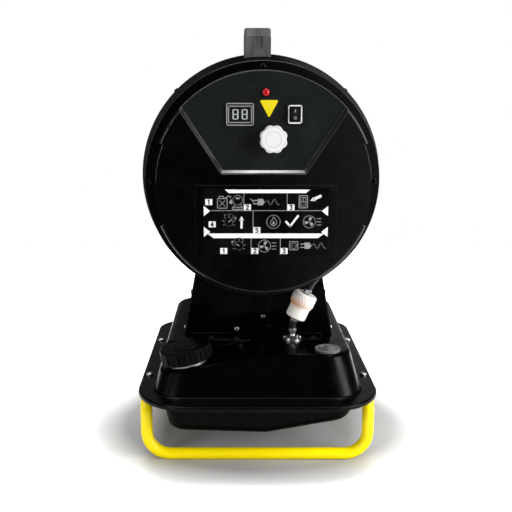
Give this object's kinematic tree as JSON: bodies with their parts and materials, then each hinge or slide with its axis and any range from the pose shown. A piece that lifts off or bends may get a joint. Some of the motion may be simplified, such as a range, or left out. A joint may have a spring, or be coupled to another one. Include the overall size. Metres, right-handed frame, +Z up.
{
  "type": "portable radiant diesel heater",
  "caption": "Portable radiant diesel heater: round head with control panel, sheet tower and pressed fuel tank on a bent tube skid.",
  "frame": {"origin": "on the floor, under the axis of the round head, midway along the fuel tank", "axes": "+Z up, +Y the way the heater radiates, -Y towards the user at the control panel"},
  "size_m": [0.414, 0.49, 0.718],
  "materials": {
    "tank_black": "satin powder coat",
    "drum_black": "satin powder coat",
    "panel_grey": "fine textured coat",
    "skid_yellow": "gloss enamel",
    "black_plastic": "moulded, fine grain",
    "black_gloss": "smooth moulded",
    "white_plastic": "smooth moulded",
    "red_lens": "translucent moulded",
    "yellow_mark": "printed film",
    "black_film": "printed film",
    "zinc_steel": "zinc plated",
    "rubber_hose": "smooth extruded",
    "rubber_seal": "matt",
    "clear_plastic": "milky, see-through",
    "filter_paper": "pleated paper",
    "gauge_glass": "clear",
    "gauge_white": "printed dial",
    "needle_red": "moulded",
    "float_foam": "closed-cell float",
    "brass_fitting": "turned",
    "polished_dish": "polished",
    "burner_steel": "heat-resisting sheet",
    "plain_steel": "plated sheet",
    "motor_grey": "gloss enamel",
    "guard_chrome": "plated wire",
    "board_green": "lacquered",
    "electrode_ceramic": "glazed",
    "gauge_rim": "clear, smooth moulded",
    "black_zinc": "black zinc plated",
    "motor_shaft": "ground"
  },
  "bodies": {
    "heater": {"tank_upper_shell": "tank_black", "tank_lower_shell": "tank_black", "drain_plug": "zinc_steel", "rear_skid_tube": "skid_yellow", "front_skid_tube": "skid_yellow", "skid_end_plugs": "black_plastic", "skid_fasteners": "zinc_steel", "filler_neck": "plain_steel", "filler_strainer": "white_plastic", "gauge_bezel": "gauge_rim", "gauge_body": "black_plastic", "gauge_dial": "gauge_white", "gauge_lens": "gauge_glass", "pickup_fitting": "zinc_steel", "lower_hose": "rubber_hose", "upper_hose": "rubber_hose", "hose_clamps": "zinc_steel", "filter_bowl": "clear_plastic", "filter_cap": "clear_plastic", "filter_element": "filter_paper", "tower_rear_panel": "tank_black", "tower_front_panel": "tank_black", "head_saddle": "plain_steel", "cable_gland": "black_plastic", "drum_rear_shell": "drum_black", "drum_front_shell": "drum_black", "rear_cover": "panel_grey", "label_plate": "black_film", "display_module": "black_gloss", "indicator_lamp": "red_lens", "index_mark": "yellow_mark", "switch_body": "black_plastic", "thermostat": "plain_steel", "control_board": "board_green", "burner_bulkhead": "plain_steel", "flame_sensor": "black_plastic", "motor_bracket": "plain_steel", "fan_motor": "motor_grey", "nozzle_holder": "brass_fitting", "ignition_electrodes": "electrode_ceramic", "combustion_chamber": "burner_steel", "radiant_head": "burner_steel", "reflector": "polished_dish", "ignition_transformer": "black_plastic", "fuel_pump": "plain_steel", "fuel_pipe": "brass_fitting", "guard_grille": "guard_chrome", "guard_clips": "plain_steel", "carry_handle": "black_plastic", "tower_screws": "zinc_steel", "dark_screws": "black_zinc"},
    "knob": {"control_knob": "white_plastic", "knob_shaft": "motor_shaft"},
    "rocker": {"switch_rocker": "black_gloss"},
    "fan": {"fan_wheel": "polished_dish", "fan_shaft": "motor_shaft"},
    "cap_lift": {"cap_gasket": "rubber_seal"},
    "cap": {"filler_cap": "black_plastic"},
    "float": {"float_arm": "float_foam"},
    "needle": {"gauge_needle": "needle_red"}
  },
  "joints": [
    {"name": "knob_turn", "type": "hinge", "parent": "heater", "child": "knob", "pos_m": [0.0144, -0.19, 0.543], "axis": [0, 1, 0], "range_deg": [0, 270]},
    {"name": "rocker_tilt", "type": "hinge", "parent": "heater", "child": "rocker", "pos_m": [0.0477, -0.1805, 0.58], "axis": [1, 0, 0], "range_deg": [0, 12]},
    {"name": "fan_spin", "type": "hinge", "parent": "heater", "child": "fan", "pos_m": [0, -0.028, 0.472], "axis": [0, 1, 0], "continuous": true},
    {"name": "cap_rise", "type": "slide", "parent": "heater", "child": "cap_lift", "axis": [-0.1857, 0, 0.9826], "range_m": [0, 0.008]},
    {"name": "cap_turn", "type": "hinge", "parent": "cap_lift", "child": "cap", "pos_m": [-0.124, -0.146, 0.16969], "axis": [-0.1857, 0, 0.9826], "range_deg": [0, 720]},
    {"name": "float_swing", "type": "hinge", "parent": "heater", "child": "float", "pos_m": [0.111, -0.1465, 0.144], "axis": [1, 0, 0], "range_deg": [0, 60]},
    {"name": "needle_swing", "type": "hinge", "parent": "heater", "child": "needle", "pos_m": [0.111, -0.1465, 0.19], "axis": [0, 0, 1], "range_deg": [-90, 0]}
  ],
  "couplings": [
    {"joint": "cap_rise", "follows": "cap_turn", "m_per_rad": 0.0006366},
    {"joint": "needle_swing", "follows": "float_swing", "ratio": -1.5}
  ]
}
